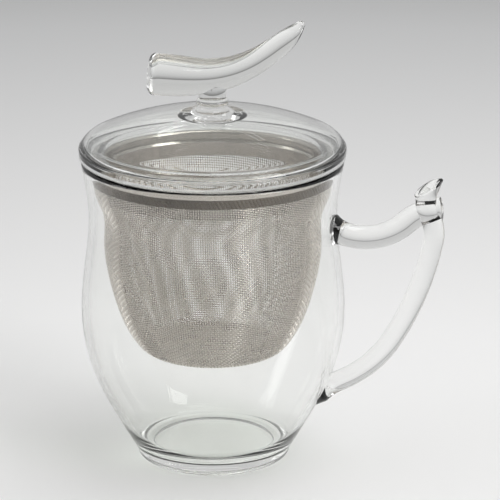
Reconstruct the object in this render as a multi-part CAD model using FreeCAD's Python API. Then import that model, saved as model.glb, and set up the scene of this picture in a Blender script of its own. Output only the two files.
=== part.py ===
"""Glass tea mug with a hanging mesh infuser and a loose domed lid.

Millimetres, +Z up. The origin is the middle of the foot ring, on the table.
The handle lies in the XZ plane, towards +X. Every round piece turns about the Z axis.
"""

import FreeCAD, Part
import math
import os

# Fits: the gap that keeps loose pieces apart
fit_gap = 0.3

# Mug: the belly's radius, how far the outside lies within it elsewhere, and heights above the table
belly_radius = 44.4
belly_height = 51.0
foot_inset = 18.5
foot_rise = 2.0
heel_inset = 11.6
heel_height = 14.0
bowl_inset = 3.1
bowl_height = 32.0
shoulder_inset = 1.9
shoulder_height = 72.0
neck_inset = 2.85
neck_height = 83.0
mouth_inset = 0.65
mouth_height = 102.65
glass_wall = 2.4
floor_inset = 6.4
floor_height = 4.6
foot_ring_width = 2.6
foot_edge = 1.5
recess_depth = 0.9

# Handle: a long bowed rod, and an arm that crosses it near its upper end
rod_radius = 3.5
rod_seat_height = 25.5
rod_seat_angle = 25.2
rod_seat_length = 4.8
rod_bends = [(15.9, 42.9), (29.8, 79.0), (28.4, 88.1), (28.0, 97.4)]
arm_radius = 4.0
arm_seat_height = 80.4
arm_seat_angle = -16.2
arm_seat_length = 3.2
arm_bends = [(20.5, 84.4), (32.0, 89.7)]
seat_flare = 1.3
rod_cut_normal = (-0.45, -0.28, 0.85)

# Infuser: a drawn mesh cup held by a rolled steel rim
rim_drop = 1.0
rim_height = 2.0
rim_width = 3.0
rim_edge = 0.8
sleeve_wall = 0.5
sleeve_depth = 7.0
band_height = 2.8
band_wall = 1.3
band_edge = 0.4
mesh_thickness = 0.6
mesh_inset = 0.4
basket_depth = 60.6
basket_floor_inset = 18.2
basket_heel_inset = 13.0
basket_heel_rise = 4.2
basket_taper_inset = 6.6
basket_taper_rise = 20.0
basket_barrel_inset = 3.8
basket_barrel_rise = 38.0
basket_throat_inset = 3.2
basket_throat_rise = 50.0
basket_flare_drop = 5.6
basket_flare_inset = 1.2

# Lid: a blown dome on a thick rim, with a collar that drops into the infuser's rim
lid_wall = 2.2
lid_overhang = 0.75
bead_proud = 0.2
dome_shoulder = 5.25
dome_crown = 100.7
dome_shoulder_rise = 2.0
bead_height = 3.9
bead_edge = 0.9
flange_thickness = 2.0
collar_wall = 2.1
collar_depth = 5.3

# Knob: a glass button under the crown, a short stem and a curved horn
button_radius = 11.0
button_drop = 2.6
stem_radius = 4.75
stem_foot_radius = 5.4
stem_flare_radius = 7.6
stem_flare_rise = 1.7
stem_foot_height = 2.7
stem_groove = 0.35
horn_height = 12.0
horn_turn = 18.0
horn_end_edge = 2.0
horn_tip_radius = 1.6
# Each section is (distance along from the stem, rise over the stem, diameter)
horn_sections = [
    (-21.0, 1.5, 14.0),
    (-11.0, 0.3, 13.5),
    (-3.0, -0.15, 11.9),
    (5.7, 0.9, 10.4),
    (13.2, 3.6, 9.0),
    (20.6, 8.0, 7.9),
    (26.5, 12.8, 6.0),
    (29.3, 15.8, 2 * horn_tip_radius),
]

ORIGIN = FreeCAD.Vector(0, 0, 0)
UP = FreeCAD.Vector(0, 0, 1)
OUT = FreeCAD.Vector(1, 0, 0)


def at(radius, height):
    """Point of a half section, at a radius from the Z axis."""
    return FreeCAD.Vector(radius, 0, height)


def line(start, end):
    return Part.LineSegment(start, end).toShape()


def arc(start, middle, end):
    return Part.Arc(start, middle, end).toShape()


def quarter(centre, radius, first, last):
    """Arc about a centre, between two angles in degrees from +X towards +Z."""
    def point(angle):
        turn = math.radians(angle)
        return centre + at(radius * math.cos(turn), radius * math.sin(turn))
    return arc(point(first), point((first + last) / 2), point(last))


def revolve(edges):
    """Solid of revolution of a closed half section."""
    face = Part.Face(Part.Wire(Part.__sortEdges__(edges)))
    return face.revolve(ORIGIN, UP, 360)


def spline(points, start_direction=None):
    curve = Part.BSplineCurve()
    if start_direction is None:
        curve.interpolate(Points=points)
    else:
        last_run = points[-1].sub(points[-2]).normalize()
        curve.interpolate(Points=points, InitialTangent=start_direction, FinalTangent=last_run)
    return curve


def inset(curve, point, depth):
    """Point that lies a wall's depth inside a rising outline."""
    along = curve.tangent(curve.parameter(point))[0]
    return point + at(-along.z, along.x) * depth


def radius_at(curve, height):
    """Radius of a rising outline at a height."""
    low, high = curve.FirstParameter, curve.LastParameter
    for _ in range(60):
        middle = (low + high) / 2
        if curve.value(middle).z < height:
            low = middle
        else:
            high = middle
    return curve.value(low).x


# Outline of the mug, shared with the pieces that sit on it
foot_radius = belly_radius - foot_inset
mouth_radius = belly_radius - mouth_inset
floor_radius = foot_radius - floor_inset
mug_points = [
    at(foot_radius, foot_rise),
    at(belly_radius - heel_inset, heel_height),
    at(belly_radius - bowl_inset, bowl_height),
    at(belly_radius, belly_height),
    at(belly_radius - shoulder_inset, shoulder_height),
    at(belly_radius - neck_inset, neck_height),
    at(mouth_radius, mouth_height),
]
mug_outside = spline(mug_points)
mug_inside = spline(
    [at(floor_radius, floor_height)] + [inset(mug_outside, p, glass_wall) for p in mug_points[1:]],
    OUT,
)
lip_outer = mug_points[-1]
lip_inner = inset(mug_outside, lip_outer, glass_wall)
lip_middle = (lip_outer + lip_inner) * 0.5
lip_top = lip_middle.z + glass_wall / 2


def foot_edges():
    """Recess, foot ring and rounded outer edge under the mug."""
    ring_outer = foot_radius - foot_edge
    ring_inner = ring_outer - foot_ring_width
    recess = ring_inner - recess_depth
    recess_middle = at(ring_inner - recess_depth * 0.3, recess_depth * 0.7)
    edge_middle = at(ring_outer + foot_edge * 0.75, foot_rise * 0.3)
    return [
        line(at(0, recess_depth), at(recess, recess_depth)),
        arc(at(recess, recess_depth), recess_middle, at(ring_inner, 0)),
        line(at(ring_inner, 0), at(ring_outer, 0)),
        arc(at(ring_outer, 0), edge_middle, mug_points[0]),
    ]


def lip_edge():
    across = (lip_outer - lip_inner).normalize()
    crest = lip_middle + at(-across.z, across.x) * (glass_wall / 2)
    return arc(lip_outer, crest, lip_inner)


def mug_body():
    edges = foot_edges()
    edges += [mug_outside.toShape(), lip_edge(), mug_inside.toShape()]
    edges.append(line(at(floor_radius, floor_height), at(0, floor_height)))
    edges.append(line(at(0, floor_height), at(0, recess_depth)))
    return revolve(edges)


def mug_envelope():
    """The mug as if it were filled, with its seam away from the handle, to trim the seats."""
    edges = foot_edges()
    edges += [mug_outside.toShape(), line(lip_outer, at(0, mouth_height))]
    edges.append(line(at(0, mouth_height), at(0, recess_depth)))
    filled = revolve(edges)
    filled.rotate(ORIGIN, UP, 180)
    return filled


def direction(angle):
    turn = math.radians(angle)
    return at(math.cos(turn), math.sin(turn))


def tangent_arcs(start, angle, ends):
    """Path of arcs, each leaving in the direction in which the last one arrived."""
    edges = []
    heading = direction(angle)
    for end in ends:
        chord = end - start
        side = at(-heading.z, heading.x)
        bulge = -chord.dot(side) / chord.Length
        half_turn = -math.asin(bulge)
        middle = start + chord * 0.5 + at(chord.z, -chord.x) * (math.tan(half_turn / 2) / 2)
        edges.append(arc(start, middle, end))
        turn = 2 * half_turn
        heading = heading * math.cos(turn) + side * math.sin(turn)
        start = end
    return Part.Wire(edges)


def handle_run(seat_height, angle, length, bends, radius):
    """Bare rod from the end of its seat on, and the middle of its far end."""
    wall = at(radius_at(mug_outside, seat_height), seat_height)
    start = wall + direction(angle) * length
    ends = [at(belly_radius + reach, height) for reach, height in bends]
    path = tangent_arcs(start, angle, ends)
    circle = Part.Wire(Part.Circle(start, direction(angle), radius).toShape())
    rod = path.makePipeShell([circle], True, True)
    return rod, ends[-1]


def handle_seat(seat_height, angle, length, radius, envelope):
    """Flared foot that fuses a rod to the wall."""
    wall_radius = radius_at(mug_outside, seat_height)
    flared = radius + seat_flare
    root = -glass_wall
    edges = [
        line(at(0, root), at(flared, root)),
        line(at(flared, root), at(flared, 0)),
        arc(at(flared, 0), at(radius + seat_flare * 0.25, length * 0.45), at(radius, length)),
        line(at(radius, length), at(0, length)),
        line(at(0, length), at(0, root)),
    ]
    seat = revolve(edges)
    seat.rotate(ORIGIN, FreeCAD.Vector(0, 1, 0), 90 - angle)
    seat.translate(at(wall_radius, seat_height))
    return max(seat.cut(envelope).Solids, key=lambda solid: solid.Volume)


def handle():
    envelope = mug_envelope()
    rod_seat = (rod_seat_height, rod_seat_angle, rod_seat_length)
    arm_seat = (arm_seat_height, arm_seat_angle, arm_seat_length)
    rod, rod_end = handle_run(*rod_seat, rod_bends, rod_radius)
    arm, _ = handle_run(*arm_seat, arm_bends, arm_radius)
    saw_width = 12 * rod_radius
    saw_corner = FreeCAD.Vector(-saw_width / 2, -saw_width / 2, 0)
    saw = Part.makeBox(saw_width, saw_width, saw_width, saw_corner)
    saw.Placement = FreeCAD.Placement(rod_end, FreeCAD.Rotation(UP, FreeCAD.Vector(*rod_cut_normal)))
    rod_parts = sorted(rod.cut(saw).cut(arm).Solids, key=lambda solid: solid.Volume)
    return {
        "handle_lower_seat": handle_seat(*rod_seat, rod_radius, envelope),
        "handle_upper_seat": handle_seat(*arm_seat, arm_radius, envelope),
        "handle_rod": rod_parts[-1],
        "handle_rod_tip": rod_parts[-2],
        "handle_arm": arm,
    }


# Levels of the infuser, hung from the lip of the mug
rim_top = lip_top - rim_drop
rim_bottom = rim_top - rim_height
band_bottom = rim_bottom - band_height
rim_radius = radius_at(mug_inside, rim_bottom) - fit_gap
band_radius = radius_at(mug_inside, band_bottom) - fit_gap
mesh_top_radius = band_radius - mesh_inset
basket_bottom = band_bottom - basket_depth
sleeve_radius = rim_radius - rim_width


def infuser_rim_ring():
    """Rolled flange with a thin sleeve that goes down inside the mesh."""
    outer = rim_radius
    inner = sleeve_radius
    skirt = inner + sleeve_wall
    bottom = rim_bottom - sleeve_depth
    edges = [
        line(at(inner, bottom), at(skirt, bottom)),
        line(at(skirt, bottom), at(skirt, rim_bottom)),
        line(at(skirt, rim_bottom), at(outer - rim_edge, rim_bottom)),
        quarter(at(outer - rim_edge, rim_bottom + rim_edge), rim_edge, -90, 0),
        line(at(outer, rim_bottom + rim_edge), at(outer, rim_top - rim_edge)),
        quarter(at(outer - rim_edge, rim_top - rim_edge), rim_edge, 0, 90),
        line(at(outer - rim_edge, rim_top), at(inner + rim_edge, rim_top)),
        quarter(at(inner + rim_edge, rim_top - rim_edge), rim_edge, 90, 180),
        line(at(inner, rim_top - rim_edge), at(inner, bottom)),
    ]
    return revolve(edges)


def infuser_clamp_band():
    """Band that pinches the mesh's edge under the rim."""
    outer = band_radius
    inner = outer - band_wall
    edges = [
        line(at(inner, band_bottom), at(outer - band_edge, band_bottom)),
        quarter(at(outer - band_edge, band_bottom + band_edge), band_edge, -90, 0),
        line(at(outer, band_bottom + band_edge), at(outer, rim_bottom - band_edge)),
        quarter(at(outer - band_edge, rim_bottom - band_edge), band_edge, 0, 90),
        line(at(outer - band_edge, rim_bottom), at(inner, rim_bottom)),
        line(at(inner, rim_bottom), at(inner, band_bottom)),
    ]
    return revolve(edges)


def infuser_basket():
    """Drawn cup of mesh, as a plain shell of the weave's thickness."""
    floor = basket_bottom
    outside_points = [
        at(mesh_top_radius - basket_floor_inset, floor),
        at(mesh_top_radius - basket_heel_inset, floor + basket_heel_rise),
        at(mesh_top_radius - basket_taper_inset, floor + basket_taper_rise),
        at(mesh_top_radius - basket_barrel_inset, floor + basket_barrel_rise),
        at(mesh_top_radius - basket_throat_inset, floor + basket_throat_rise),
        at(mesh_top_radius - basket_flare_inset, band_bottom - basket_flare_drop),
        at(mesh_top_radius, band_bottom),
    ]
    outside = spline(outside_points, OUT)
    inside_points = [inset(outside, p, mesh_thickness) for p in outside_points[:-1]]
    inside_points.append(at(mesh_top_radius - mesh_thickness, band_bottom))
    inside = spline(inside_points, OUT)
    edges = [
        line(at(0, floor), outside_points[0]),
        outside.toShape(),
        line(outside_points[-1], inside_points[-1]),
        inside.toShape(),
        line(inside_points[0], at(0, inside_points[0].z)),
        line(at(0, inside_points[0].z), at(0, floor)),
    ]
    return revolve(edges)


# Levels of the lid, over the lip of the mug
lid_radius = mouth_radius + lid_overhang
dome_radius = lid_radius - bead_proud
collar_radius = sleeve_radius - fit_gap
lid_base = lip_top + fit_gap
bead_top = lid_base + bead_height
shoulder_centre = at(dome_radius - dome_shoulder, lid_base + dome_shoulder_rise)
crown_centre_height = shoulder_centre.z - math.sqrt(
    (dome_crown - dome_shoulder) ** 2 - shoulder_centre.x ** 2)
crown_top = crown_centre_height + dome_crown


def crown_point(radius, depth=0.0):
    """Point of the crown's outside, or of a surface a depth below it."""
    return at(radius, crown_centre_height + math.sqrt((dome_crown - depth) ** 2 - radius ** 2))


def dome_outline(depth):
    """Shoulder and crown arcs from the bead up to the axis, a depth inside the outline."""
    shoulder = dome_shoulder - depth
    crown = dome_crown - depth
    first = math.asin((bead_top - shoulder_centre.z) / shoulder)
    join = math.atan2(shoulder_centre.z - crown_centre_height, shoulder_centre.x)
    half_crown = (join + math.pi / 2) / 2
    crown_centre = at(0, crown_centre_height)

    def on(centre, radius, turn):
        return centre + at(radius * math.cos(turn), radius * math.sin(turn))

    low = on(shoulder_centre, shoulder, first)
    middle = on(shoulder_centre, shoulder, (first + join) / 2)
    high = on(shoulder_centre, shoulder, join)
    apex = on(crown_centre, crown, math.pi / 2)
    apex.x = 0
    return low, apex, [arc(low, middle, high), arc(high, on(crown_centre, crown, half_crown), apex)]


def lid_dome():
    outer_low, outer_apex, outer_arcs = dome_outline(0)
    inner_low, inner_apex, inner_arcs = dome_outline(lid_wall)
    edges = outer_arcs + inner_arcs
    edges += [line(inner_low, outer_low), line(outer_apex, inner_apex)]
    return revolve(edges)


def lid_rim_bead():
    """Thick rim that lies over the lip, with a flat flange inwards to the collar."""
    outer_low = dome_outline(0)[0]
    inner_low = dome_outline(lid_wall)[0]
    flange_top = lid_base + flange_thickness
    hollow = bead_top - flange_top
    hollow_centre = at(inner_low.x - hollow, bead_top)
    inner = collar_radius - collar_wall
    edge_middle = at(lid_radius - bead_edge * 0.15, bead_top - bead_edge * 0.35)
    edges = [
        line(inner_low, outer_low),
        arc(outer_low, edge_middle, at(lid_radius, bead_top - bead_edge)),
        line(at(lid_radius, bead_top - bead_edge), at(lid_radius, lid_base + bead_edge)),
        quarter(at(lid_radius - bead_edge, lid_base + bead_edge), bead_edge, 0, -90),
        line(at(lid_radius - bead_edge, lid_base), at(inner, lid_base)),
        line(at(inner, lid_base), at(inner, flange_top - bead_edge)),
        quarter(at(inner + bead_edge, flange_top - bead_edge), bead_edge, 180, 90),
        line(at(inner + bead_edge, flange_top), at(hollow_centre.x, flange_top)),
        quarter(hollow_centre, hollow, -90, 0),
    ]
    return revolve(edges)


def lid_collar():
    inner = collar_radius - collar_wall
    middle = (collar_radius + inner) / 2
    bottom = lid_base - collar_depth
    round_height = bottom + collar_wall / 2
    edges = [
        line(at(inner, lid_base), at(collar_radius, lid_base)),
        line(at(collar_radius, lid_base), at(collar_radius, round_height)),
        arc(at(collar_radius, round_height), at(middle, bottom), at(inner, round_height)),
        line(at(inner, round_height), at(inner, lid_base)),
    ]
    return revolve(edges)


def bowl_arc(edge, apex):
    """Arc from a rim point to an apex on the axis, level at the apex."""
    sagitta = edge.z - apex.z
    ball = (edge.x ** 2 + sagitta ** 2) / (2 * abs(sagitta))
    half = edge.x / 2
    rise = math.copysign(ball - math.sqrt(ball ** 2 - half ** 2), sagitta)
    return arc(edge, at(half, apex.z + rise), apex)


def knob_button():
    """Lens of glass fused under the crown, where the stem is joined."""
    rim = crown_point(button_radius, lid_wall)
    roof = crown_point(0, lid_wall)
    bottom = at(0, roof.z - button_drop)
    return revolve([bowl_arc(rim, roof), line(roof, bottom), bowl_arc(rim, bottom)])


def horn_at(along, rise):
    return at(along, crown_top + horn_height + rise)


def knob_horn():
    """Tapering horn: circles square to a bowed centre line, a blunt end and a round tip."""
    centres = [horn_at(along, rise) for along, rise, _ in horn_sections]
    spine = spline(centres)
    rings = []
    for centre, section in zip(centres, horn_sections):
        tangent = spine.tangent(spine.parameter(centre))[0]
        rings.append(Part.Wire(Part.Circle(centre, tangent, section[2] / 2).toShape()))
    horn = Part.makeLoft(rings, True, False)
    blunt_end = [
        edge for edge in horn.Edges
        if edge.BoundBox.XMax < horn_sections[0][0] + horn_end_edge
    ]
    horn = horn.makeFillet(horn_end_edge, blunt_end)
    tip = Part.makeSphere(horn_tip_radius, centres[-1])
    horn = horn.fuse(tip).removeSplitter()
    horn.rotate(ORIGIN, UP, horn_turn)
    return horn


def knob_stem(horn):
    """Short stem with a flared, beaded foot, up to the underside of the horn."""
    flare_edge = crown_point(stem_flare_radius)
    foot_low = crown_top + stem_flare_rise
    foot_high = foot_low + stem_foot_height
    foot_middle = (foot_low + foot_high) / 2
    neck = stem_radius - stem_groove
    top = crown_top + horn_height
    flare_middle = at(
        stem_radius + (stem_flare_radius - stem_radius) * 0.35,
        flare_edge.z + (foot_low - flare_edge.z) * 0.45)
    edges = [
        bowl_arc(flare_edge, at(0, crown_top)),
        arc(flare_edge, flare_middle, at(stem_radius, foot_low)),
        arc(at(stem_radius, foot_low), at(stem_foot_radius, foot_middle), at(neck, foot_high)),
        arc(at(neck, foot_high), at(stem_radius, foot_high + stem_groove * 2),
            at(stem_radius - stem_groove / 2, top)),
        line(at(stem_radius - stem_groove / 2, top), at(0, top)),
        line(at(0, top), at(0, crown_top)),
    ]
    return min(revolve(edges).cut(horn).Solids, key=lambda solid: solid.CenterOfMass.z)


horn = knob_horn()
nodes = {
    "mug_body": mug_body(),
    "infuser_rim_ring": infuser_rim_ring(),
    "infuser_clamp_band": infuser_clamp_band(),
    "infuser_basket": infuser_basket(),
    "lid_dome": lid_dome(),
    "lid_rim_bead": lid_rim_bead(),
    "lid_collar": lid_collar(),
    "knob_button": knob_button(),
    "knob_stem": knob_stem(horn),
    "knob_horn": horn,
}
nodes.update(handle())

os.makedirs("parts", exist_ok=True)
for name, shape in nodes.items():
    shape.exportStep("parts/" + name + ".step")
    box = shape.BoundBox
    print(name, shape.isValid(), len(shape.Solids), round(shape.Volume, 1),
          "x", round(box.XMin, 2), round(box.XMax, 2),
          "y", round(box.YMin, 2), round(box.YMax, 2),
          "z", round(box.ZMin, 2), round(box.ZMax, 2))
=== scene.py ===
"""Lidded glass tea mug with a woven steel infuser: blown glass, steel wires and a plain studio."""
import math

import bmesh
import bpy
import numpy as np
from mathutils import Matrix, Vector


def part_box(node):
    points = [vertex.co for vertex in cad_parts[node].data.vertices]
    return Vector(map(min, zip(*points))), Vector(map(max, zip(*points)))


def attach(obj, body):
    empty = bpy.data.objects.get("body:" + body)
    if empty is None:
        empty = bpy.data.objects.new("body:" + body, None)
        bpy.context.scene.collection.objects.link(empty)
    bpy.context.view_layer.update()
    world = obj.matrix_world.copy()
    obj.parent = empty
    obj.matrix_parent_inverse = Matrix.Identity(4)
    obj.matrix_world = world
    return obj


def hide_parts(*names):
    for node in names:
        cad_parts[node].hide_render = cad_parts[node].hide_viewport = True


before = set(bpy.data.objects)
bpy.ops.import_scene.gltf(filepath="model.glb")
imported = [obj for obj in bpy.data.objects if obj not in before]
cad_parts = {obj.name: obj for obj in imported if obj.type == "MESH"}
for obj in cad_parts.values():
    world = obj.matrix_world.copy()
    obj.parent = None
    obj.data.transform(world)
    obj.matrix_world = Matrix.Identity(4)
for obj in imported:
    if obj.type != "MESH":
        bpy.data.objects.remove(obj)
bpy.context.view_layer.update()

bl_info = {
    "name": "Glass tea mug with infuser",
    "version": (1, 0, 0),
    "blender": (4, 5, 0),
    "location": "3D View > Sidebar > Tea Mug",
    "description": "Builds the blown glass, the woven infuser and the studio round the tea mug's frame",
    "category": "Object",
}

MM = 0.001
TURN = 2 * math.pi

# Mug outside: how far it lies within the belly's radius, and the height, in millimetres
MUG_OUTLINE = [(18.5, 2.0), (11.6, 14.0), (3.1, 32.0), (0.0, 51.0), (1.9, 72.0), (2.85, 83.0), (0.65, 102.65)]
# Infuser cup outside: how far it lies within the mesh's top radius, and the rise over its floor
CUP_OUTLINE = [(18.2, 0.0), (13.0, 4.2), (6.6, 20.0), (3.8, 38.0), (3.2, 50.0), (1.2, 55.0), (0.0, 60.6)]
# Handle seats: height on the wall, angle in which the glass leaves it, and length
ROD_SEAT = (25.5 * MM, math.radians(25.2), 4.8 * MM)
ARM_SEAT = (80.4 * MM, math.radians(-16.2), 3.2 * MM)
# Handle: ends of the arcs as (reach past the belly's radius, height), in millimetres
ROD_BENDS = [(15.9, 42.9), (29.8, 79.0), (28.4, 88.1), (28.0, 97.4)]
ARM_BENDS = [(20.5, 84.4), (32.0, 89.7)]
# How far rod and arm bow sideways towards their crossing, and which way the rod's cut end faces
ROD_BOW = -1.7 * MM
ARM_BOW = 0.6 * MM
ROD_CUT = (-0.45, -0.28, 0.85)
# Horn: (distance along from the stem, rise over the stem, diameter), in millimetres
HORN_SECTIONS = [
    (-21.0, 1.5, 14.0), (-11.0, 0.3, 13.5), (-3.0, -0.15, 11.9), (5.7, 0.9, 10.4),
    (13.2, 3.6, 9.0), (20.6, 8.0, 7.9), (26.5, 12.8, 6.0), (29.3, 15.8, 3.2),
]
# Infuser cup: degrees round from its front where drawing left folds, and how steeply rows of wire rise there
FOLDS = (-124.0, -55.0, 34.0, 57.0, 140.0)
ROW_SLOPES = [
    (-180, 0.1), (-120, 0.1), (-95, -0.2), (-57, -0.45), (-54, 0.35), (-38, 0.3), (-28, -0.3), (-8, -0.02),
    (6, -0.05), (20, -0.3), (34, -0.36), (55, -0.3), (59, 0.4), (90, 0.3), (180, 0.1),
]
# Radius at which the slopes of the rows are counted, and the degrees that close the rows up at the back
SLOPE_RADIUS = 37 * MM
BACK_START, BACK_BLEND = 75, 20
# Where the wall's weave takes over from the floor's, along the cup from its axis
WALL_START = 25.0 * MM
# How far the floor's weave is turned from the cup's front
FLOOR_TURN = math.radians(40)

LIP_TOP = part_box("mug_body")[1].z
BAND_LOW, BAND_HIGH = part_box("infuser_clamp_band")
RIM_LOW, RIM_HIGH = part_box("infuser_rim_ring")
CUP_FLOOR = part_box("infuser_basket")[0].z
BEAD_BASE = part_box("lid_rim_bead")[0].z
COLLAR_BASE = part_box("lid_collar")[0].z
CROWN_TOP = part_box("lid_dome")[1].z

# Radii of the fitted rings, from the lid's bead inwards
BEAD_RADIUS = 44.5 * MM
RIM_RADIUS = 40.91 * MM
BAND_RADIUS = 40.58 * MM
MESH_TOP_RADIUS = 40.18 * MM
SLEEVE_RADIUS = 37.91 * MM
COLLAR_RADIUS = 37.61 * MM
# Rounding of the clamp band, and the top of the lid's bead
BAND_EDGE = 0.4 * MM
BEAD_TOP = BEAD_BASE + 3.9 * MM

# Fineness: steps in each gap of a smooth run, facets round a turned piece, and facets for the ribs
STEPS = 14
AROUND = 224
CORE_AROUND = 160
RIBS_AROUND = 1320
# Degrees between two faces over which their edge stays sharp
SHARP_OVER = 40.0


# Settings

def length(name, description, size):
    """A length in metres, given in millimetres."""
    return bpy.props.FloatProperty(
        name=name, description=description, default=size * MM, unit="LENGTH", precision=5)


def angle_in(name, description, degrees):
    """An angle, given in degrees."""
    return bpy.props.FloatProperty(
        name=name, description=description, default=math.radians(degrees), subtype="ANGLE")


def colour(name, description, value):
    return bpy.props.FloatVectorProperty(
        name=name, description=description, default=value, subtype="COLOR", size=3, min=0, max=1)


class MugSettings(bpy.types.PropertyGroup):
    belly_radius: length("Belly radius", "Widest outside radius of the mug", 44.4)
    wall: length("Wall", "Thickness of the glass", 2.4)
    floor_inset: length("Floor inset", "How far the flat floor stops within the foot", 6.4)
    floor_height: length("Floor height", "Height of the floor's upper face", 4.6)
    foot_edge: length("Foot edge", "Rounding outside the foot ring", 1.5)
    ring_width: length("Ring width", "Width of the foot ring", 2.6)
    recess: length("Recess", "Depth of the hollow under the foot", 0.9)
    rod_radius: length("Rod radius", "Radius of the bowed rod", 3.5)
    arm_radius: length("Arm radius", "Radius of the arm that crosses the rod", 4.0)
    seat_flare: length("Seat flare", "How much a rod widens where it meets the wall", 0.78)
    glass: colour("Glass", "Clear glass", (0.99, 0.99, 0.985))


class LidSettings(bpy.types.PropertyGroup):
    wall: length("Wall", "Thickness of the dome", 2.2)
    bead_proud: length("Bead proud", "How far the bead stands past the dome", 0.2)
    bead_edge: length("Bead edge", "Rounding of the bead and the flange", 0.9)
    shoulder: length("Shoulder", "Radius of the dome's shoulder", 5.25)
    shoulder_rise: length("Shoulder rise", "Height of the shoulder's centre over the bead's base", 2.0)
    crown: length("Crown", "Radius of the dome's crown", 100.7)
    flange: length("Flange", "Thickness of the flange inside the bead", 2.0)
    collar_wall: length("Collar wall", "Thickness of the collar", 2.1)
    button_radius: length("Button radius", "Radius of the lens under the knob", 11.0)
    button_drop: length("Button drop", "Depth of the lens under the dome", 2.6)
    stem_radius: length("Stem radius", "Radius of the knob's stem", 4.75)
    horn_height: length("Horn height", "Height of the horn's middle over the crown", 12.0)
    horn_turn: angle_in("Horn turn", "How far the horn is turned from the handle", 18.0)
    glass: colour("Glass", "Clear glass", (0.985, 0.988, 0.98))


class InfuserSettings(bpy.types.PropertyGroup):
    column_pitch: length("Column pitch", "Distance between two upright wires of a panel", 0.79)
    row_pitch: length("Row pitch", "Distance up the wall between two rows of wire", 0.83)
    floor_pitch: length("Floor pitch", "Distance between wires in the cup's floor", 0.79)
    wire: length("Wire", "Diameter of a wire", 0.32)
    bend: bpy.props.FloatProperty(
        name="Bend", description="How far a wire bows over another, in wire diameters", default=0.6)
    front: angle_in("Front", "Direction round the axis that the folds and slopes are counted from", -80.0)
    crease_depth: length("Crease depth", "Depth of the folds that drawing leaves in the cup", 0.35)
    sleeve_wall: length("Sleeve wall", "Thickness of the rim's sleeve", 0.5)
    rim_height: length("Rim height", "Height of the rolled rim", 2.0)
    rim_edge: length("Rim edge", "Rounding of the rolled rim", 0.8)
    band_wall: length("Band wall", "Thickness of the clamp band", 1.3)
    rib_depth: length("Rib depth", "Height of the pinched wires over the clamp band", 0.4)
    # Rows and uprights are a lit and a shaded copy of one steel: the uprights' darker colour is painted
    # shade.
    wires: colour("Wires", "Steel of the rows and the floor, the lit copy of the uprights' steel", (1.0, 0.955, 0.90))
    shaded_uprights: colour("Shaded uprights", "Steel of the upright wires, darker as painted shade", (0.95, 0.895, 0.835))
    rim: colour("Rim", "Polished steel of the rim", (0.60, 0.56, 0.51))
    # The band's very dark steel colour is painted shade, where it lies under the rim.
    band: colour("Band", "Steel of the clamp band, darkened as painted shade under the rim", (0.16, 0.135, 0.105))


class StudioSettings(bpy.types.PropertyGroup):
    elevation: angle_in("Elevation", "Camera angle over the horizon", 18.49)
    azimuth: angle_in("Azimuth", "Camera angle round the mug", 10.0)
    distance: length("Distance", "Camera to the mug's axis", 1000.0)
    watched_height: length("Watched height", "Height on the axis that the distance is measured from", 60.0)
    look_right: length("Look right", "How far right of the axis the camera looks", 12.47)
    look_up: length("Look up", "How far over the watched height the camera looks", 11.02)
    lens: bpy.props.FloatProperty(
        name="Lens", description="Focal length of the camera", default=213.6, subtype="DISTANCE_CAMERA")
    floor_near: colour("Near floor", "Floor colour in front of the mug", (0.86, 0.86, 0.86))
    # The far floor's darker colour is painted shade.
    floor_far: colour("Far floor", "Floor colour behind the mug", (0.62, 0.625, 0.63))


# Outlines, as rows of (radius, height)

def rows(pairs):
    return np.array(pairs, dtype=float)


def through(points, steps, start=None):
    """Smooth run through points, a cubic in each gap, level at the start where a start slope is given."""
    points = np.asarray(points, dtype=float)
    gaps = np.linalg.norm(np.diff(points, axis=0), axis=1)
    count = len(points)
    matrix = np.zeros((count, count))
    right = np.zeros((count, points.shape[1]))
    for i in range(1, count - 1):
        matrix[i, i - 1:i + 2] = gaps[i - 1], 2 * (gaps[i - 1] + gaps[i]), gaps[i]
        before, after = (points[i] - points[i - 1]) / gaps[i - 1], (points[i + 1] - points[i]) / gaps[i]
        right[i] = 6 * (after - before)
    matrix[0, 0] = matrix[-1, -1] = 1
    if start is not None:
        matrix[0, :2] = 2 * gaps[0], gaps[0]
        right[0] = 6 * ((points[1] - points[0]) / gaps[0] - np.asarray(start))
    bend = np.linalg.solve(matrix, right)
    run = []
    for i in range(count - 1):
        for b in np.linspace(0, 1, steps, endpoint=False):
            a = 1 - b
            pull = (a ** 3 - a) * bend[i] + (b ** 3 - b) * bend[i + 1]
            run.append(a * points[i] + b * points[i + 1] + pull * gaps[i] ** 2 / 6)
    run.append(points[-1])
    return np.array(run)


def inwards(run, depth):
    """The run moved a depth to its left, which is inside for an outline that rises."""
    along = np.gradient(run, axis=0)
    along /= np.linalg.norm(along, axis=1)[:, None]
    return run + np.column_stack([-along[:, 1], along[:, 0]]) * depth


def turned(centre, radius, first, last, count=8):
    """Arc about a centre between two angles in degrees."""
    angles = np.radians(np.linspace(first, last, count))
    return np.array(centre) + radius * np.column_stack([np.cos(angles), np.sin(angles)])


def bowed(start, middle, end, count=8):
    """Circular arc through three points."""
    (ax, ay), (bx, by), (cx, cy) = start, middle, end
    d = 2 * (ax * (by - cy) + bx * (cy - ay) + cx * (ay - by))
    aa, bb, cc = ax * ax + ay * ay, bx * bx + by * by, cx * cx + cy * cy
    centre = np.array([
        (aa * (by - cy) + bb * (cy - ay) + cc * (ay - by)) / d,
        (aa * (cx - bx) + bb * (ax - cx) + cc * (bx - ax)) / d])
    first, half, last = (math.atan2(p[1] - centre[1], p[0] - centre[0]) for p in (start, middle, end))
    span = (last - first) % TURN
    if (half - first) % TURN > span:
        span -= TURN
    angles = first + np.linspace(0, span, count)
    radius = math.hypot(ax - centre[0], ay - centre[1])
    return centre + radius * np.column_stack([np.cos(angles), np.sin(angles)])


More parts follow.
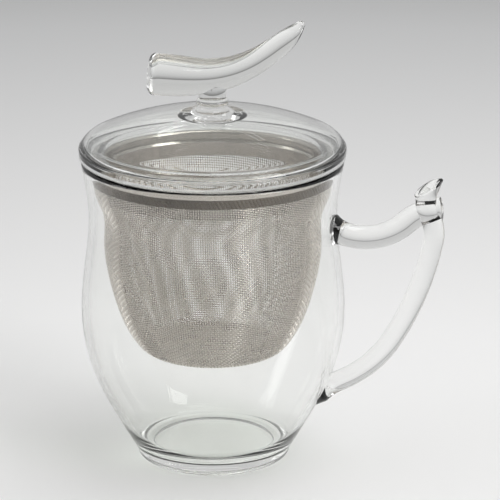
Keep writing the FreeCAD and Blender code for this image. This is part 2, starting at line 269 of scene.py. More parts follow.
def dish(edge, apex_height, count=14):
    """Shallow arc from a rim point to the axis, level at the axis."""
    rise = edge[1] - apex_height
    ball = (edge[0] ** 2 + rise ** 2) / (2 * abs(rise))
    radii = np.linspace(edge[0], 0, count)
    heights = apex_height + math.copysign(1, rise) * (ball - np.sqrt(ball ** 2 - radii ** 2))
    return np.column_stack([radii, heights])


def joined(*runs):
    """One outline from several, without doubled points."""
    outline = [np.asarray(runs[0][0], dtype=float)]
    for run in runs:
        for point in run:
            if np.linalg.norm(np.asarray(point) - outline[-1]) > 1e-6:
                outline.append(np.asarray(point, dtype=float))
    return np.array(outline)


def straight(start, end, step):
    """Line between two points, in parts no longer than a step."""
    start, end = rows([start, end])
    parts = max(1, int(math.ceil(np.linalg.norm(end - start) / step)))
    return np.array([start + (end - start) * i / parts for i in range(parts + 1)])


# Meshes

def new_object(name, vertices, faces, sharp_over=SHARP_OVER):
    mesh = bpy.data.meshes.new(name)
    mesh.from_pydata(np.asarray(vertices).tolist(), [], faces)
    mesh.validate()
    mesh.polygons.foreach_set("use_smooth", [True] * len(mesh.polygons))
    mesh.set_sharp_from_angle(angle=math.radians(sharp_over))
    obj = bpy.data.objects.new(name, mesh)
    bpy.context.scene.collection.objects.link(obj)
    return obj


def grid_faces(rings, around, closed_rings=False):
    """Quads between rings of vertices, each ring closed on itself."""
    faces = []
    last = rings if closed_rings else rings - 1
    for i in range(last):
        low, high = i * around, ((i + 1) % rings) * around
        for j in range(around):
            k = (j + 1) % around
            faces.append((low + j, low + k, high + k, high + j))
    return faces


def lathe(name, outline, segments, ripple=None, closed=False):
    """Turned solid. The outline runs from axis to axis, or closes on itself round a ring."""
    outline = np.asarray(outline)
    angles = np.arange(segments) * TURN / segments
    body = outline if closed else outline[1:-1]
    radii = np.repeat(body[:, :1], segments, axis=1)
    heights = np.repeat(body[:, 1:], segments, axis=1)
    if ripple is not None:
        radii = radii + ripple(angles[None, :], body[:, :1], body[:, 1:])
    places = [radii * np.cos(angles), radii * np.sin(angles), heights]
    vertices = np.stack(places, axis=-1).reshape(-1, 3)
    faces = grid_faces(len(body), segments, closed)
    if not closed:
        low, high = len(vertices), len(vertices) + 1
        vertices = np.vstack([vertices, [0, 0, outline[0, 1]], [0, 0, outline[-1, 1]]])
        top = (len(body) - 1) * segments
        for j in range(segments):
            k = (j + 1) % segments
            faces.append((low, k, j))
            faces.append((high, top + j, top + k))
    return new_object(name, vertices, faces)


def tube(name, centres, radii, around=40, cut=None, dome=0.0):
    """Round rod along a line near the XZ plane, trimmed by a slanted cut where one is given."""
    centres = np.asarray(centres)
    along = np.gradient(centres, axis=0)
    along /= np.linalg.norm(along, axis=1)[:, None]
    side = np.array([0.0, 1.0, 0.0]) - along * along[:, 1:2]
    side /= np.linalg.norm(side, axis=1)[:, None]
    across = np.cross(side, along)
    angles = (np.arange(around) * TURN / around)[None, :, None]
    ring = np.cos(angles) * across[:, None, :] + np.sin(angles) * side[:, None, :]
    points = centres[:, None, :] + np.asarray(radii)[:, None, None] * ring
    normal = along[-1] if cut is None else np.asarray(cut) / np.linalg.norm(cut)
    over = (points - centres[-1]) @ normal
    slide = np.where(over > 0, over, 0) / (along @ normal)[:, None]
    slide[-1] = over[-1] / (along[-1] @ normal)
    points = points - slide[:, :, None] * along[:, None, :]
    caps = []
    for share in (0.93, 0.75, 0.45):
        lift = dome * math.sqrt(1 - share ** 2)
        caps.append(centres[-1] + (points[-1] - centres[-1]) * share + normal * lift)
    vertices = np.vstack([points.reshape(-1, 3)] + caps)
    rings = len(centres) + len(caps)
    faces = grid_faces(rings, around)
    start, end = len(vertices), len(vertices) + 1
    vertices = np.vstack([vertices, centres[0], centres[-1] + normal * dome])
    top = (rings - 1) * around
    for j in range(around):
        k = (j + 1) % around
        faces.append((start, k, j))
        faces.append((end, top + j, top + k))
    return new_object(name, vertices, faces)


def outwards(obj):
    """Turns every face outwards."""
    work = bmesh.new()
    work.from_mesh(obj.data)
    bmesh.ops.recalc_face_normals(work, faces=work.faces)
    work.to_mesh(obj.data)
    work.free()
    return obj


def combine(obj, other, operation):
    """Adds or cuts away another solid, which is used up."""
    modifier = obj.modifiers.new("combine", "BOOLEAN")
    modifier.operation = operation
    modifier.solver = "EXACT"
    modifier.object = other
    depsgraph = bpy.context.evaluated_depsgraph_get()
    mesh = bpy.data.meshes.new_from_object(obj.evaluated_get(depsgraph))
    if len(mesh.polygons) == 0:
        raise RuntimeError("combining left nothing of " + obj.name)
    obj.modifiers.clear()
    obj.data = mesh
    mesh.polygons.foreach_set("use_smooth", [True] * len(mesh.polygons))
    mesh.set_sharp_from_angle(angle=math.radians(SHARP_OVER))
    bpy.data.objects.remove(other)
    return obj


def finish_piece(obj, material, body, slot, *nodes):
    """Gives a piece its material and says which nodes it replaces and which body it rides."""
    obj.data.materials.clear()
    obj.data.materials.append(material)
    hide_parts(*nodes)
    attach(obj, body)


# Shared effects: node groups with named sockets

def effect(name, inputs, outputs):
    group = bpy.data.node_groups.new(name, "ShaderNodeTree")
    for label, kind, default in inputs:
        socket = group.interface.new_socket(name=label, in_out="INPUT", socket_type=kind)
        socket.default_value = default
    for label, kind in outputs:
        group.interface.new_socket(name=label, in_out="OUTPUT", socket_type=kind)
    return group, group.nodes.new("NodeGroupInput"), group.nodes.new("NodeGroupOutput")


def colour_mix(tree, factor, first, second):
    """Output with the mix of two colour outputs by a factor output."""
    mix = tree.nodes.new("ShaderNodeMix")
    mix.data_type = "RGBA"
    first_input, second_input, result_output = 6, 7, 2
    tree.links.new(factor, mix.inputs["Factor"])
    tree.links.new(first, mix.inputs[first_input])
    tree.links.new(second, mix.inputs[second_input])
    return mix.outputs[result_output]


def patchiness(group, given, detail):
    """Noise over the object, with as many patches as the group is given, as an output."""
    place = group.nodes.new("ShaderNodeTexCoord")
    noise = group.nodes.new("ShaderNodeTexNoise")
    noise.inputs["Detail"].default_value = detail
    group.links.new(place.outputs["Object"], noise.inputs["Vector"])
    group.links.new(given.outputs["Patches"], noise.inputs["Scale"])
    return noise.outputs["Fac"]


def colour_ramp(nodes, *stops):
    """Ramp through (position, colour) stops."""
    ramp = nodes.new("ShaderNodeValToRGB")
    elements = ramp.color_ramp.elements
    elements[0].position, elements[0].color = stops[0]
    elements[-1].position, elements[-1].color = stops[-1]
    for position, paint in stops[1:-1]:
        elements.new(position).color = paint
    return ramp


def blown_ripple():
    """Slow waves that mouth-blown glass keeps, as a height."""
    group, given, result = effect(
        "Blown ripple",
        [("Waves", "NodeSocketFloat", 40.0), ("Stretch", "NodeSocketFloat", 0.4)],
        [("Height", "NodeSocketFloat")])
    place = group.nodes.new("ShaderNodeTexCoord")
    squeeze = group.nodes.new("ShaderNodeVectorMath")
    squeeze.operation = "MULTIPLY"
    scale = group.nodes.new("ShaderNodeCombineXYZ")
    scale.inputs["X"].default_value = 1.0
    scale.inputs["Y"].default_value = 1.0
    noise = group.nodes.new("ShaderNodeTexNoise")
    noise.inputs["Detail"].default_value = 1.0
    group.links.new(given.outputs["Stretch"], scale.inputs["Z"])
    group.links.new(place.outputs["Object"], squeeze.inputs[0])
    group.links.new(scale.outputs["Vector"], squeeze.inputs[1])
    group.links.new(squeeze.outputs["Vector"], noise.inputs["Vector"])
    group.links.new(given.outputs["Waves"], noise.inputs["Scale"])
    group.links.new(noise.outputs["Fac"], result.inputs["Height"])
    return group


def melt_tint():
    """Colour that drifts a little between two melts."""
    group, given, result = effect(
        "Melt tint",
        [("Clear", "NodeSocketColor", (1, 1, 1, 1)), ("Green", "NodeSocketColor", (0.9, 1, 0.95, 1)),
         ("Patches", "NodeSocketFloat", 25.0)],
        [("Color", "NodeSocketColor")])
    tint = colour_mix(group, patchiness(group, given, 2.0), given.outputs["Clear"], given.outputs["Green"])
    group.links.new(tint, result.inputs["Color"])
    return group


def metal_cloud():
    """Uneven tarnish and rubbing of steel, as a colour and a roughness."""
    group, given, result = effect(
        "Metal cloud",
        [("Bright", "NodeSocketColor", (0.7, 0.7, 0.7, 1)), ("Dull", "NodeSocketColor", (0.5, 0.5, 0.5, 1)),
         ("Patches", "NodeSocketFloat", 60.0), ("Smooth", "NodeSocketFloat", 0.2),
         ("Rough", "NodeSocketFloat", 0.35)],
        [("Color", "NodeSocketColor"), ("Roughness", "NodeSocketFloat")])
    patches = patchiness(group, given, 4.0)
    cloud = colour_mix(group, patches, given.outputs["Bright"], given.outputs["Dull"])
    spread = group.nodes.new("ShaderNodeMapRange")
    group.links.new(patches, spread.inputs["Value"])
    group.links.new(given.outputs["Smooth"], spread.inputs["To Min"])
    group.links.new(given.outputs["Rough"], spread.inputs["To Max"])
    group.links.new(cloud, result.inputs["Color"])
    group.links.new(spread.outputs["Result"], result.inputs["Roughness"])
    return group


def crest_highlight_dip_shade():
    """Colour of a woven wire with painted light: a painted highlight where it lies on top and painted shade
    where it dips under.
    """
    group, given, result = effect(
        "Painted crest highlight and dip shade",
        [("Color", "NodeSocketColor", (0.7, 0.7, 0.7, 1)), ("Crest", "NodeSocketFloat", 1.0),
         ("Dip", "NodeSocketColor", (0.1, 0.1, 0.1, 1))],
        [("Color", "NodeSocketColor")])
    spread = group.nodes.new("ShaderNodeMapRange")
    spread.inputs["From Min"].default_value = -0.4
    spread.inputs["From Max"].default_value = 0.7
    group.links.new(given.outputs["Crest"], spread.inputs["Value"])
    painted_light = colour_mix(group, spread.outputs["Result"], given.outputs["Dip"], given.outputs["Color"])
    group.links.new(painted_light, result.inputs["Color"])
    return group


def shared(name, builder):
    """The effect of this name, built when it is first asked for."""
    return bpy.data.node_groups.get(name) or builder()


def placed(material, name, builder, **values):
    """One shared effect, placed in a material with its own values."""
    node = material.node_tree.nodes.new("ShaderNodeGroup")
    node.node_tree = shared(name, builder)
    for label, value in values.items():
        node.inputs[label].default_value = value
    return node


def new_material(name):
    material = bpy.data.materials.new(name)
    material.use_nodes = True
    return material, material.node_tree.nodes["Principled BSDF"]


def opaque(value):
    return (value[0], value[1], value[2], 1.0)


def clear_glass(name, clear, waves, depth):
    """Clear glass that lets lamps through, with a faint ripple and a drifting tint."""
    material, shader = new_material(name)
    nodes, links = material.node_tree.nodes, material.node_tree.links
    shader.inputs["Metallic"].default_value = 0.0
    shader.inputs["Transmission Weight"].default_value = 1.0
    shader.inputs["Roughness"].default_value = 0.0
    shader.inputs["IOR"].default_value = 1.47
    tint = placed(material, "Melt tint", melt_tint, Clear=opaque(clear),
                  Green=(clear[0] * 0.992, clear[1], clear[2] * 0.994, 1.0), Patches=30.0)
    links.new(tint.outputs["Color"], shader.inputs["Base Color"])
    ripple = placed(material, "Blown ripple", blown_ripple, Waves=waves, Stretch=0.35)
    bump = nodes.new("ShaderNodeBump")
    bump.inputs["Strength"].default_value = 0.12
    bump.inputs["Distance"].default_value = depth
    links.new(ripple.outputs["Height"], bump.inputs["Height"])
    links.new(bump.outputs["Normal"], shader.inputs["Normal"])
    open_way = nodes.new("ShaderNodeBsdfTransparent")
    open_way.inputs["Color"].default_value = (0.93, 0.945, 0.925, 1.0)
    path = nodes.new("ShaderNodeLightPath")
    mix = nodes.new("ShaderNodeMixShader")
    links.new(path.outputs["Is Shadow Ray"], mix.inputs["Fac"])
    links.new(shader.outputs["BSDF"], mix.inputs[1])
    links.new(open_way.outputs["BSDF"], mix.inputs[2])
    links.new(mix.outputs["Shader"], nodes["Material Output"].inputs["Surface"])
    return material


def steel(name, bright, dullness, patches, smooth, rough):
    """Steel with uneven colour and roughness. The dullness is the dull patches' share of the brightness."""
    material, shader = new_material(name)
    links = material.node_tree.links
    shader.inputs["Metallic"].default_value = 1.0
    dull = tuple(c * dullness for c in bright)
    cloud = placed(material, "Metal cloud", metal_cloud, Bright=opaque(bright), Dull=opaque(dull),
                   Patches=patches, Smooth=smooth, Rough=rough)
    links.new(cloud.outputs["Color"], shader.inputs["Base Color"])
    links.new(cloud.outputs["Roughness"], shader.inputs["Roughness"])
    return material


def woven_steel(name, bright):
    """Steel of the wires, with painted highlights on the crests and painted shade in the dips."""
    material = steel(name, bright, dullness=0.85, patches=130.0, smooth=0.22, rough=0.34)
    nodes, links = material.node_tree.nodes, material.node_tree.links
    cloud = next(node for node in nodes if node.type == "GROUP")
    crest = nodes.new("ShaderNodeAttribute")
    crest.attribute_name = "crest"
    # The dip colour is painted shade and the crest colour a painted highlight, chosen by the crest attribute.
    painted_light = placed(material, "Painted crest highlight and dip shade", crest_highlight_dip_shade, Dip=(0.46, 0.41, 0.36, 1.0))
    links.new(cloud.outputs["Color"], painted_light.inputs["Color"])
    links.new(crest.outputs["Fac"], painted_light.inputs["Crest"])
    links.new(painted_light.outputs["Color"], nodes["Principled BSDF"].inputs["Base Color"])
    return material


# Mug of glass with its handle

def mug_runs(mug):
    """Outside and inside of the mug's wall, from foot to lip."""
    outside = through([(mug.belly_radius - inset * MM, height * MM) for inset, height in MUG_OUTLINE], STEPS)
    knots = inwards(outside, mug.wall)[::STEPS]
    foot_radius = outside[0, 0]
    first = (foot_radius - mug.floor_inset, mug.floor_height)
    inside = through(np.vstack([first, knots[1:]]), STEPS, start=(1.0, 0.0))
    return outside, inside


def mug_outline(mug):
    """Half section of the mug, from the axis under the foot, over the lip, to the axis on the floor."""
    outside, inside = mug_runs(mug)
    ring_outer = outside[0, 0] - mug.foot_edge
    ring_inner = ring_outer - mug.ring_width
    recess = mug.recess
    middle = (outside[-1] + inside[-1]) / 2
    across = outside[-1] - inside[-1]
    reach = np.linalg.norm(across) / 2
    lean = math.degrees(math.atan2(across[1], across[0]))
    lip = turned(middle, reach, lean, lean + 180, 12)
    under = straight((0, recess), (ring_inner - recess, recess), 3 * MM)
    scoop = bowed((ring_inner - recess, recess), (ring_inner - recess * 0.3, recess * 0.7), (ring_inner, 0))
    edge = bowed((ring_outer, 0), (ring_outer + mug.foot_edge * 0.75, outside[0, 1] * 0.3), outside[0])
    floor = straight((inside[0, 0], mug.floor_height), (0, mug.floor_height), 3 * MM)
    return joined(under, scoop, edge, outside, lip, inside[::-1], floor)


def radius_at(run, height):
    return float(np.interp(height, run[:, 1], run[:, 0]))


def tangent_arcs(start, angle, ends, step):
    """Line of arcs, each leaving in the direction in which the last one arrived."""
    line = [np.array(start)]
    heading = np.array([math.cos(angle), math.sin(angle)])
    for end in ends:
        chord = np.array(end) - line[-1]
        side = np.array([-heading[1], heading[0]])
        half_turn = math.asin(float(chord @ side) / np.linalg.norm(chord))
        square = np.array([chord[1], -chord[0]])
        middle = line[-1] + chord / 2 + square * math.tan(half_turn / 2) / 2
        count = max(6, int(np.linalg.norm(chord) / step))
        line.extend(bowed(line[-1], middle, end, count)[1:])
        turn = 2 * half_turn
        heading = heading * math.cos(turn) + side * math.sin(turn)
    return np.array(line)


def rod_of_glass(name, mug, seat, bends, radius, bow, cut=None):
    """Rod that leaves the wall through a flared seat and follows its arcs."""
    seat_height, angle, seat_length = seat
    outside, _ = mug_runs(mug)
    wall = np.array([radius_at(outside, seat_height), seat_height])
    away = np.array([math.cos(angle), math.sin(angle)])
    seat_end = wall + away * seat_length
    buried = 9 * MM
    rooted = [wall + away * d for d in np.linspace(-buried, seat_length, 22)[:-1]]
    ends = [(mug.belly_radius + reach * MM, height * MM) for reach, height in bends]
    run = np.vstack([rooted, tangent_arcs(seat_end, angle, ends, 0.9 * MM)])
    # Sideways bow, so that the rod passes in front of the arm that is fused to it
    crossing_reach = 28 * MM
    nearness = np.clip((run[:, 0] - mug.belly_radius) / crossing_reach, 0, 1)
    centres = np.column_stack([run[:, 0], bow * nearness ** 2 * (3 - 2 * nearness), run[:, 1]])
    past = ((run - wall) @ away) / seat_length
    seated = np.arange(len(run)) < len(rooted)
    widest = 1.35
    widening = np.where(seated, np.clip(1 - past, 0, widest) ** 2, 0)
    return outwards(tube(name, centres, radius + mug.seat_flare * widening, cut=cut, dome=0.7 * MM))


class TEAMUG_OT_mug(bpy.types.Operator):
    """Build the glass mug and the handle fused to it"""
    bl_idname = "teamug.mug"
    bl_label = "Glass mug and handle"

    def execute(self, context):
        mug = context.scene.teamug_mug
        body = outwards(lathe("mug_glass", mug_outline(mug), AROUND))
        outside, _ = mug_runs(mug)
        # Core that trims the rods' roots within the middle of the wall
        middle = inwards(outside, mug.wall * 0.55)
        core_top = LIP_TOP + 5 * MM
        core_outline = joined(rows([(0, outside[0, 1] + mug.wall * 0.5)]), middle[2:],
                              rows([(middle[-1, 0], core_top), (0, core_top)]))
        rod = rod_of_glass("rod", mug, ROD_SEAT, ROD_BENDS, mug.rod_radius, ROD_BOW, cut=ROD_CUT)
        arm = rod_of_glass("arm", mug, ARM_SEAT, ARM_BENDS, mug.arm_radius, ARM_BOW)
        handle = combine(rod, arm, "UNION")
        core = outwards(lathe("core", core_outline, CORE_AROUND))
        handle = combine(handle, core, "DIFFERENCE")
        combine(body, handle, "UNION")
        material = clear_glass("Mug clear glass", tuple(mug.glass), waves=38.0, depth=0.4 * MM)
        finish_piece(body, material, "mug", "clear_glass", "mug_body", "handle_rod", "handle_rod_tip",
                     "handle_arm", "handle_upper_seat", "handle_lower_seat")
        return {"FINISHED"}


# Lid of glass with its horn

def dome_run(lid, depth, count=40):
    """Shoulder and crown of the dome from the bead to the axis, a depth inside the outline."""
    dome_radius = BEAD_RADIUS - lid.bead_proud
    centre = np.array([dome_radius - lid.shoulder, BEAD_BASE + lid.shoulder_rise])
    crown_centre = centre[1] - math.sqrt((lid.crown - lid.shoulder) ** 2 - centre[0] ** 2)
    shoulder, crown = lid.shoulder - depth, lid.crown - depth
    first = math.degrees(math.asin((BEAD_TOP - centre[1]) / shoulder))
    join = math.degrees(math.atan2(centre[1] - crown_centre, centre[0]))
    return joined(turned(centre, shoulder, first, join, 12),
                  turned((0, crown_centre), crown, join, 90, count))


def on_run(run, radius):
    """Height of a falling or rising outline at a radius."""
    order = np.argsort(run[:, 0])
    return float(np.interp(radius, run[order, 0], run[order, 1]))


def lid_outline(lid):
    """Half section of the whole lid but the horn, from the stem's top to the lens."""
    base = BEAD_BASE
    inner = COLLAR_RADIUS - lid.collar_wall
    outer_dome = dome_run(lid, 0)[::-1]
    inner_dome = dome_run(lid, lid.wall)
    flare_radius = 7.6 * MM
    foot_low = CROWN_TOP + 1.7 * MM
    foot_high = foot_low + 2.7 * MM
    neck = lid.stem_radius - 0.35 * MM
    swell = lid.stem_radius + 0.65 * MM
    stem_top = CROWN_TOP + lid.horn_height
    flare = np.array([flare_radius, on_run(outer_dome, flare_radius)])
    stem = joined(
        straight((0, stem_top), (neck, stem_top), 2 * MM),
        bowed((neck, stem_top), (lid.stem_radius, foot_high + 2 * MM), (neck, foot_high)),
        bowed((neck, foot_high), (swell, (foot_low + foot_high) / 2), (lid.stem_radius, foot_low), 14),
        bowed((lid.stem_radius, foot_low),
              (lid.stem_radius + 1.0 * MM, flare[1] + (foot_low - flare[1]) * 0.45), flare, 12))
    crown = outer_dome[outer_dome[:, 0] > flare_radius]
    edge = lid.bead_edge
    brow = (BEAD_RADIUS - edge * 0.15, BEAD_TOP - edge * 0.35)
    bead = joined(
        bowed(outer_dome[-1], brow, (BEAD_RADIUS, BEAD_TOP - edge)),
        straight((BEAD_RADIUS, BEAD_TOP - edge), (BEAD_RADIUS, base + edge), 0.7 * MM),
        turned((BEAD_RADIUS - edge, base + edge), edge, 0, -90),
        straight((BEAD_RADIUS - edge, base), (COLLAR_RADIUS, base), 1.5 * MM))
    low = COLLAR_BASE
    middle = (COLLAR_RADIUS + inner) / 2
    collar = joined(
        straight((COLLAR_RADIUS, base), (COLLAR_RADIUS, low + lid.collar_wall / 2), 1.5 * MM),
        turned((middle, low + lid.collar_wall / 2), lid.collar_wall / 2, 0, -180, 12))
    flange_top = base + lid.flange
    hollow = BEAD_TOP - flange_top
    hollow_centre = (inner_dome[0, 0] - hollow, BEAD_TOP)
    inside = joined(
        straight((inner, low + lid.collar_wall / 2), (inner, flange_top - edge), 1.5 * MM),
        turned((inner + edge, flange_top - edge), edge, 180, 90),
        straight((inner + edge, flange_top), (hollow_centre[0], flange_top), 1.0 * MM),
        turned(hollow_centre, hollow, -90, 0))
    ceiling = inner_dome[inner_dome[:, 0] > lid.button_radius]
    lens_edge = (lid.button_radius, on_run(inner_dome, lid.button_radius))
    lens = dish(lens_edge, inner_dome[-1, 1] - lid.button_drop)
    return joined(stem, crown, bead, collar, inside, ceiling, lens)


def horn_of_glass(lid):
    """Bowed, tapering horn with a blunt rounded end and a fine round tip."""
    base = CROWN_TOP + lid.horn_height
    knots = [(along * MM, base + rise * MM, size * MM / 2) for along, rise, size in HORN_SECTIONS]
    run = through(knots, STEPS)
    line, radii = run[:, :2], run[:, 2]
    rounding = 2.0 * MM
    first = (line[1] - line[0]) / np.linalg.norm(line[1] - line[0])
    last = (line[-1] - line[-2]) / np.linalg.norm(line[-1] - line[-2])
    past = np.linalg.norm(line - line[0], axis=1)
    blunt = [(line[0] + first * rounding * (1 - math.cos(a)), radii[0] - rounding * (1 - math.sin(a)))
             for a in np.radians(np.linspace(0, 80, 9))]
    shaft = [(p, r) for p, r, d in zip(line, radii, past) if d > rounding]
    tip = [(line[-1] + last * radii[-1] * math.sin(a), radii[-1] * math.cos(a))
           for a in np.radians(np.linspace(12, 78, 6))]
    centres = np.array([(p[0], 0, p[1]) for p, _ in blunt + shaft + tip])
    sizes = np.array([r for _, r in blunt + shaft + tip])
    horn = outwards(tube("horn", centres, sizes, around=56, dome=0.25 * MM))
    c, s = math.cos(lid.horn_turn), math.sin(lid.horn_turn)
    spin = np.array([[c, -s, 0], [s, c, 0], [0, 0, 1]])
    for vertex in horn.data.vertices:
        vertex.co = Vector(spin @ np.array(vertex.co))
    return horn


class TEAMUG_OT_lid(bpy.types.Operator):
    """Build the domed lid with its collar, stem and horn"""
    bl_idname = "teamug.lid"
    bl_label = "Glass lid and horn"

    def execute(self, context):
        lid = context.scene.teamug_lid
        body = outwards(lathe("lid_glass", lid_outline(lid), AROUND))
        combine(body, horn_of_glass(lid), "UNION")
        material = clear_glass("Lid clear glass", tuple(lid.glass), waves=30.0, depth=0.3 * MM)
        finish_piece(body, material, "lid", "clear_glass", "lid_dome", "lid_rim_bead", "lid_collar",
                     "knob_button", "knob_stem", "knob_horn")
        return {"FINISHED"}


# Steel infuser

def rim_outline(infuser):
    """Section of the rolled rim and the sleeve that hangs from it."""
    top, low = RIM_HIGH.z, RIM_LOW.z
    under = top - infuser.rim_height
    outer, inner = RIM_RADIUS, SLEEVE_RADIUS
    skirt = inner + infuser.sleeve_wall
    edge = infuser.rim_edge
    return joined(
        straight((inner, low), (skirt, low), 1 * MM),
        straight((skirt, low), (skirt, under), 1 * MM),
        straight((skirt, under), (outer - edge, under), 1 * MM),
        turned((outer - edge, under + edge), edge, -90, 0),
        turned((outer - edge, top - edge), edge, 0, 90),
        turned((inner + edge, top - edge), edge, 90, 180),
        straight((inner, top - edge), (inner, low), 1 * MM))[:-1]


def band_outline(infuser):
    """Section of the clamp band, fine on the outer face that carries the ribs."""
    edge = BAND_EDGE
    outer, inner = BAND_RADIUS, BAND_RADIUS - infuser.band_wall
    low, top = BAND_LOW.z, BAND_HIGH.z
    return joined(
        straight((inner, low), (outer - edge, low), 0.6 * MM),
        turned((outer - edge, low + edge), edge, -90, 0, 5),
        straight((outer, low + edge), (outer, top - edge), 0.25 * MM),
        turned((outer - edge, top - edge), edge, 0, 90, 5),
        straight((outer - edge, top), (inner, top), 0.6 * MM),
        straight((inner, top), (inner, low), 0.8 * MM))[:-1]


def pinched_wires(infuser):
    """Ripple of the wire ends that stand out of the clamp band, uneven round it."""
    low = BAND_LOW.z
    lean, wires_per_radian, row_gap = 12, 100, 0.75 * MM

    def ripple(angles, radii, heights):
        outer_face = np.clip((radii - BAND_RADIUS + BAND_EDGE) / BAND_EDGE, 0, 1)
        leaning = angles + (heights - low) * lean
        wires = np.abs(np.sin(leaning * wires_per_radian + 1.3 * np.sin(angles * 7)))
        rows_of_wire = 0.5 + 0.5 * np.sin((heights - low) / row_gap * TURN + angles * 23)
        uneven = 0.75 + 0.25 * np.sin(angles * 31 + 2 * np.sin(angles * 5))
        return (wires * (0.6 + 0.4 * rows_of_wire) * uneven - 1) * infuser.rib_depth * outer_face

    return ripple


class TEAMUG_OT_rim(bpy.types.Operator):
    """Build the rolled rim with its sleeve, and the ribbed clamp band under it"""
    bl_idname = "teamug.rim"
    bl_label = "Infuser rim and clamp band"

    def execute(self, context):
        infuser = context.scene.teamug_infuser
        rim = outwards(lathe("infuser_rim", rim_outline(infuser), AROUND, closed=True))
        material = steel("Polished rim steel", tuple(infuser.rim), dullness=0.85, patches=45.0,
                         smooth=0.12, rough=0.24)
        finish_piece(rim, material, "infuser", "polished_steel", "infuser_rim_ring")

        band = outwards(lathe("infuser_band", band_outline(infuser), RIBS_AROUND,
                              ripple=pinched_wires(infuser), closed=True))
        # Very dark steel: painted shade under the rim.
        material = steel("Clamp band steel", tuple(infuser.band), dullness=0.6, patches=220.0,
                         smooth=0.25, rough=0.5)
        finish_piece(band, material, "infuser", "polished_steel", "infuser_clamp_band")
        return {"FINISHED"}


def cup_run(infuser):
    """Middle of the drawn sheet from the axis to the clamp band, with its distance along."""
    knots = [(MESH_TOP_RADIUS - inset * MM, CUP_FLOOR + rise * MM) for inset, rise in CUP_OUTLINE]
    outside = through(knots, 16, start=(1.0, 0.0))
    middle = inwards(outside, infuser.wire)
    tucked = [(middle[-1, 0], middle[-1, 1] + 0.6 * MM)]
    run = joined(straight((0, middle[0, 1]), middle[0], 1 * MM), middle, rows(tucked))
    distance = np.concatenate([[0], np.cumsum(np.linalg.norm(np.diff(run, axis=0), axis=1))])
    return run, distance


def creased(angles, infuser):
    """How far the cup's folds pull the sheet in, by the angle round the axis."""
    pull = np.zeros_like(angles)
    fold_width = 1.6
    for fold in FOLDS:
        off = np.degrees(np.angle(np.exp(1j * (angles - infuser.front - math.radians(fold)))))
        pull += np.exp(-(off / fold_width) ** 2)
    return pull * infuser.crease_depth


def on_cup(infuser, angles, distances, lift):
    """Places in space, and outward directions, of points of the cup at a lift off the sheet's middle."""
    run, measured = cup_run(infuser)
    slope = np.gradient(run, axis=0)
    slope /= np.linalg.norm(slope, axis=1)[:, None]
    radii, heights = (np.interp(distances, measured, run[:, i]) for i in (0, 1))
    slope_r, slope_z = (np.interp(distances, measured, slope[:, i]) for i in (0, 1))
    on_wall = np.clip((distances - WALL_START) / (8 * MM), 0, 1)
    lift = lift - creased(angles, infuser) * on_wall
    radial, upward = radii + slope_z * lift, heights - slope_r * lift
    points = np.stack([radial * np.cos(angles), radial * np.sin(angles), upward], axis=-1)
    outward = np.stack([slope_z * np.cos(angles), slope_z * np.sin(angles), -slope_r], axis=-1)
    return points, outward


def wires_object(name, strands, radius):
    """Thin square-sided wires, smooth shaded, one along each strand of (points, directions, crests)."""
    corners = np.radians([45, 135, 225, 315])
    vertices, faces, crests = [], [], []
    made = 0
    for points, outward, crest in strands:
        crests.append(np.repeat(crest, 4))
        along = np.gradient(points, axis=0)
        along /= np.linalg.norm(along, axis=1)[:, None]
        side = np.cross(along, outward)
        side /= np.linalg.norm(side, axis=1)[:, None]
        up = np.cross(side, along)
        ring = [points + (side * math.cos(a) + up * math.sin(a)) * radius for a in corners]
        vertices.append(np.stack(ring, axis=1).reshape(-1, 3))
        count = len(points)
        for i in range(count - 1):
            low, high = made + i * 4, made + (i + 1) * 4
            for j in range(4):
                k = (j + 1) % 4
                faces.append((low + j, low + k, high + k, high + j))
        end = made + (count - 1) * 4
        faces.append((made + 3, made + 2, made + 1, made))
        faces.append((end, end + 1, end + 2, end + 3))
        made += count * 4
    obj = new_object(name, np.vstack(vertices), faces, sharp_over=180.0)
    # The crest attribute says which wire lies on top; the material paints a highlight or shade by it.
    obj.data.attributes.new("crest", "FLOAT", "POINT").data.foreach_set("value", np.concatenate(crests))
    return obj


def row_rise(infuser, angles):
    """How far a row has climbed at each angle, from the slopes of its sectors."""
    grid = np.arange(720) * TURN / 720
    turned_by = np.degrees((grid - infuser.front + math.pi) % TURN - math.pi)
    places, slopes = zip(*ROW_SLOPES)
    slope = np.interp(turned_by, places, slopes)
    back = np.clip((np.abs(turned_by) - BACK_START) / BACK_BLEND, 0, 1)
    slope = slope - back * slope.sum() / back.sum()
    rise = np.cumsum(slope) * TURN / len(grid) * SLOPE_RADIUS
    return np.interp(angles, grid, rise, period=TURN)


def woven_wall(infuser, levels):
    """Crossings of rows and columns: angle, place up the wall, and whether a column is there.

    Columns stand at one spacing in each panel between two folds, and run out into the folds
    where the cup narrows.
    """
    run, measured = cup_run(infuser)
    edges = np.radians(np.append(FOLDS, FOLDS[0] + 360.0)) + infuser.front
    parts = []
    for start, end in zip(edges[:-1], edges[1:]):
        middle, half = (start + end) / 2, (end - start) / 2
        most = int(half * run[-1, 0] / infuser.column_pitch) + 1
        across = (np.arange(-most, most) + 0.5) * infuser.column_pitch
        radius = np.full((len(levels), len(across)), run[-1, 0])
        # The angle hangs on the radius and the radius on the place, so a few rounds settle them
        for _ in range(5):
            angle = middle + across[None, :] / radius
            place = levels[:, None] * infuser.row_pitch + row_rise(infuser, angle)
            radius = np.maximum(np.interp(place, measured, run[:, 0]), 10 * MM)
        parts.append((angle, place, np.abs(across)[None, :] < half * radius))
    return tuple(np.hstack(grids) for grids in zip(*parts))


